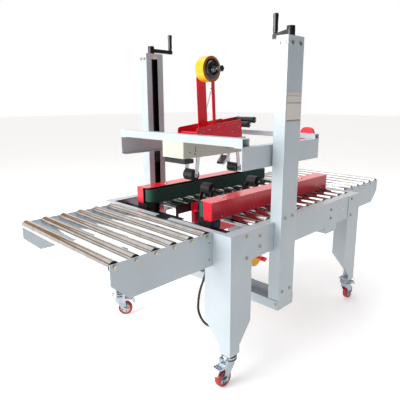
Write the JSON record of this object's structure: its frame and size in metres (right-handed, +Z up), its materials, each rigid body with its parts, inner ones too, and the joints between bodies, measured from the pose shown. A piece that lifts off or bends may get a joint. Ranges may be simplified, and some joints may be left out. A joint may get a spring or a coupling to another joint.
{
  "type": "carton sealer machine",
  "caption": "Semi-automatic side-belt carton sealer: roller bed on castered legs, tape head lifted on two columns, tape cartridges above and below.",
  "frame": {"origin": "on the floor under the middle of the bed frame", "axes": "+X the way cartons travel, +Z up, -Y the near side; the entry table points to -X"},
  "size_m": [1.898, 0.882, 1.406],
  "materials": {
    "grey_paint": "satin powder coat",
    "black_paint": "satin black paint",
    "red_paint": "gloss red powder coat",
    "roller_tube": "zinc plated",
    "bright_steel": "ground and plated",
    "bolt_steel": "zinc plated",
    "belt_rubber": "matt",
    "press_rubber": "matt",
    "tape": "satin film",
    "black_plastic": "moulded",
    "cream_plastic": "moulded",
    "cable_sheath": "satin",
    "wheel_rubber": "matt",
    "stop_red": "gloss"
  },
  "bodies": {
    "frame": {"near_side_panel": "grey_paint", "far_side_panel": "grey_paint", "cross_members": "grey_paint", "corner_legs": "grey_paint", "entry_table_sides": "grey_paint", "exit_table_sides": "grey_paint", "near_column": "grey_paint", "far_column": "grey_paint", "base_channel": "grey_paint", "bed_deck": "black_paint", "bed_rollers": "roller_tube", "frame_fasteners": "bolt_steel", "screw_bearings": "cream_plastic", "control_box": "grey_paint", "label_plate": "cream_plastic", "motor_lead": "cable_sheath", "width_guide_rods": "bright_steel", "lower_cartridge_frame": "red_paint"},
    "head": {"near_head_arm": "grey_paint", "far_head_arm": "grey_paint", "head_beams": "grey_paint", "end_bumper": "red_paint", "head_carriages": "black_paint", "upper_guide_bar": "black_paint", "upper_cartridge_housing": "grey_paint", "upper_cartridge_plates": "red_paint", "tape_mast": "red_paint"},
    "upper_front_arm": {"upper_front_arm": "bright_steel"},
    "upper_front_roller": {"upper_front_roller": "press_rubber"},
    "upper_rear_arm": {"upper_rear_arm": "bright_steel"},
    "upper_cutter_arm": {"upper_cutter_arm": "bright_steel"},
    "tape_spool": {"tape_roll": "tape", "tape_hub": "black_plastic"},
    "near_lift_screw": {"near_lift_screw": "black_paint"},
    "far_lift_screw": {"far_lift_screw": "black_paint"},
    "lower_front_arm": {"lower_front_arm": "black_paint"},
    "lower_front_roller": {"lower_front_roller": "press_rubber"},
    "lower_rear_arm": {"lower_rear_arm": "black_paint"},
    "lower_tape_roll": {"lower_tape_roll": "tape"},
    "near_belt_unit": {"near_side_belt": "belt_rubber", "near_belt_cover": "red_paint", "near_belt_carriage": "bright_steel", "near_belt_drive": "black_paint"},
    "far_belt_unit": {"far_side_belt": "belt_rubber", "far_belt_cover": "red_paint", "far_belt_carriage": "bright_steel", "far_belt_drive": "black_paint"},
    "width_screw": {"width_screw": "bright_steel"},
    "emergency_stop": {"emergency_stop": "stop_red"},
    "entry_roller_1": {"entry_roller_1": "roller_tube"},
    "entry_roller_2": {"entry_roller_2": "roller_tube"},
    "entry_roller_3": {"entry_roller_3": "roller_tube"},
    "entry_roller_4": {"entry_roller_4": "roller_tube"},
    "entry_roller_5": {"entry_roller_5": "roller_tube"},
    "entry_roller_6": {"entry_roller_6": "roller_tube"},
    "near_front_fork": {"near_front_fork": "bright_steel"},
    "near_front_wheel": {"near_front_wheel": "wheel_rubber"},
    "far_front_fork": {"far_front_fork": "bright_steel"},
    "far_front_wheel": {"far_front_wheel": "wheel_rubber"},
    "near_rear_fork": {"near_rear_fork": "bright_steel"},
    "near_rear_wheel": {"near_rear_wheel": "wheel_rubber"},
    "far_rear_fork": {"far_rear_fork": "bright_steel"},
    "far_rear_wheel": {"far_rear_wheel": "wheel_rubber"}
  },
  "joints": [
    {"name": "head_lift", "type": "slide", "parent": "frame", "child": "head", "axis": [0, 0, 1], "range_m": [-0.1, 0.35]},
    {"name": "near_crank_turn", "type": "hinge", "parent": "frame", "child": "near_lift_screw", "pos_m": [-0.195, -0.411, 1.3], "axis": [0, 0, 1], "continuous": true},
    {"name": "far_crank_turn", "type": "hinge", "parent": "frame", "child": "far_lift_screw", "pos_m": [-0.195, 0.411, 1.3], "axis": [0, 0, 1], "continuous": true},
    {"name": "upper_front_swing", "type": "hinge", "parent": "head", "child": "upper_front_arm", "pos_m": [-0.385, 0, 0.86], "axis": [0, -1, 0], "range_deg": [0, 55], "stiffness_Nm_per_rad": 3, "springref_deg": -17.19},
    {"name": "upper_rear_swing", "type": "hinge", "parent": "head", "child": "upper_rear_arm", "pos_m": [-0.15, 0, 0.862], "axis": [0, -1, 0], "range_deg": [0, 40.15], "stiffness_Nm_per_rad": 3, "springref_deg": -17.19},
    {"name": "upper_front_roller_spin", "type": "hinge", "parent": "upper_front_arm", "child": "upper_front_roller", "pos_m": [-0.316, 0, 0.756], "axis": [0, 1, 0], "continuous": true},
    {"name": "upper_cutter_swing", "type": "hinge", "parent": "head", "child": "upper_cutter_arm", "pos_m": [-0.062, 0, 0.868], "axis": [0, 1, 0], "range_deg": [0, 35], "stiffness_Nm_per_rad": 1.5, "springref_deg": -17.19},
    {"name": "tape_spin", "type": "hinge", "parent": "head", "child": "tape_spool", "pos_m": [-0.208, 0, 1.208], "axis": [0, 1, 0], "continuous": true},
    {"name": "lower_front_swing", "type": "hinge", "parent": "frame", "child": "lower_front_arm", "pos_m": [-0.238, 0, 0.565], "axis": [0, 1, 0], "range_deg": [0, 68], "stiffness_Nm_per_rad": 3, "springref_deg": -17.19},
    {"name": "lower_rear_swing", "type": "hinge", "parent": "frame", "child": "lower_rear_arm", "pos_m": [0.045, 0, 0.572], "axis": [0, 1, 0], "range_deg": [0, 44.2], "stiffness_Nm_per_rad": 3, "springref_deg": -17.19},
    {"name": "lower_front_roller_spin", "type": "hinge", "parent": "lower_front_arm", "child": "lower_front_roller", "pos_m": [-0.209, 0, 0.678], "axis": [0, 1, 0], "continuous": true},
    {"name": "lower_tape_spin", "type": "hinge", "parent": "frame", "child": "lower_tape_roll", "pos_m": [0.135, 0, 0.25], "axis": [0, 1, 0], "continuous": true},
    {"name": "near_belt_width", "type": "slide", "parent": "frame", "child": "near_belt_unit", "axis": [0, -1, 0], "range_m": [-0.06, 0.11]},
    {"name": "far_belt_width", "type": "slide", "parent": "frame", "child": "far_belt_unit", "axis": [0, 1, 0], "range_m": [-0.06, 0.11]},
    {"name": "width_screw_turn", "type": "hinge", "parent": "frame", "child": "width_screw", "pos_m": [0.3375, 0, 0.545], "axis": [0, 1, 0], "continuous": true},
    {"name": "stop_press", "type": "slide", "parent": "frame", "child": "emergency_stop", "axis": [0, -1, 0], "range_m": [0, 0.005], "stiffness_N_per_m": 600, "springref_m": -0.001},
    {"name": "entry_roller_1_spin", "type": "hinge", "parent": "frame", "child": "entry_roller_1", "pos_m": [-0.93, 0, 0.592], "axis": [0, 1, 0], "continuous": true},
    {"name": "entry_roller_2_spin", "type": "hinge", "parent": "frame", "child": "entry_roller_2", "pos_m": [-0.8515, 0, 0.592], "axis": [0, 1, 0], "continuous": true},
    {"name": "entry_roller_3_spin", "type": "hinge", "parent": "frame", "child": "entry_roller_3", "pos_m": [-0.773, 0, 0.592], "axis": [0, 1, 0], "continuous": true},
    {"name": "entry_roller_4_spin", "type": "hinge", "parent": "frame", "child": "entry_roller_4", "pos_m": [-0.6945, 0, 0.592], "axis": [0, 1, 0], "continuous": true},
    {"name": "entry_roller_5_spin", "type": "hinge", "parent": "frame", "child": "entry_roller_5", "pos_m": [-0.616, 0, 0.592], "axis": [0, 1, 0], "continuous": true},
    {"name": "entry_roller_6_spin", "type": "hinge", "parent": "frame", "child": "entry_roller_6", "pos_m": [-0.5375, 0, 0.592], "axis": [0, 1, 0], "continuous": true},
    {"name": "near_front_swivel", "type": "hinge", "parent": "frame", "child": "near_front_fork", "pos_m": [-0.482, -0.3795, 0.12], "axis": [0, 0, 1], "continuous": true},
    {"name": "near_front_wheel_spin", "type": "hinge", "parent": "near_front_fork", "child": "near_front_wheel", "pos_m": [-0.517, -0.3795, 0.036], "axis": [0, -1, 0], "continuous": true},
    {"name": "far_front_swivel", "type": "hinge", "parent": "frame", "child": "far_front_fork", "pos_m": [-0.482, 0.3795, 0.12], "axis": [0, 0, 1], "continuous": true},
    {"name": "far_front_wheel_spin", "type": "hinge", "parent": "far_front_fork", "child": "far_front_wheel", "pos_m": [-0.45725, 0.35475, 0.036], "axis": [0.7071, 0.7071, 0], "continuous": true},
    {"name": "near_rear_swivel", "type": "hinge", "parent": "frame", "child": "near_rear_fork", "pos_m": [0.482, -0.3795, 0.12], "axis": [0, 0, 1], "continuous": true},
    {"name": "near_rear_wheel_spin", "type": "hinge", "parent": "near_rear_fork", "child": "near_rear_wheel", "pos_m": [0.517, -0.3795, 0.036], "axis": [0, 1, 0], "continuous": true},
    {"name": "far_rear_swivel", "type": "hinge", "parent": "frame", "child": "far_rear_fork", "pos_m": [0.482, 0.3795, 0.12], "axis": [0, 0, 1], "continuous": true},
    {"name": "far_rear_wheel_spin", "type": "hinge", "parent": "far_rear_fork", "child": "far_rear_wheel", "pos_m": [0.447, 0.3795, 0.036], "axis": [0, -1, 0], "continuous": true}
  ],
  "couplings": [
    {"joint": "far_belt_width", "follows": "near_belt_width", "ratio": 1},
    {"joint": "upper_rear_swing", "follows": "upper_front_swing", "ratio": 0.73},
    {"joint": "lower_rear_swing", "follows": "lower_front_swing", "ratio": 0.65}
  ]
}
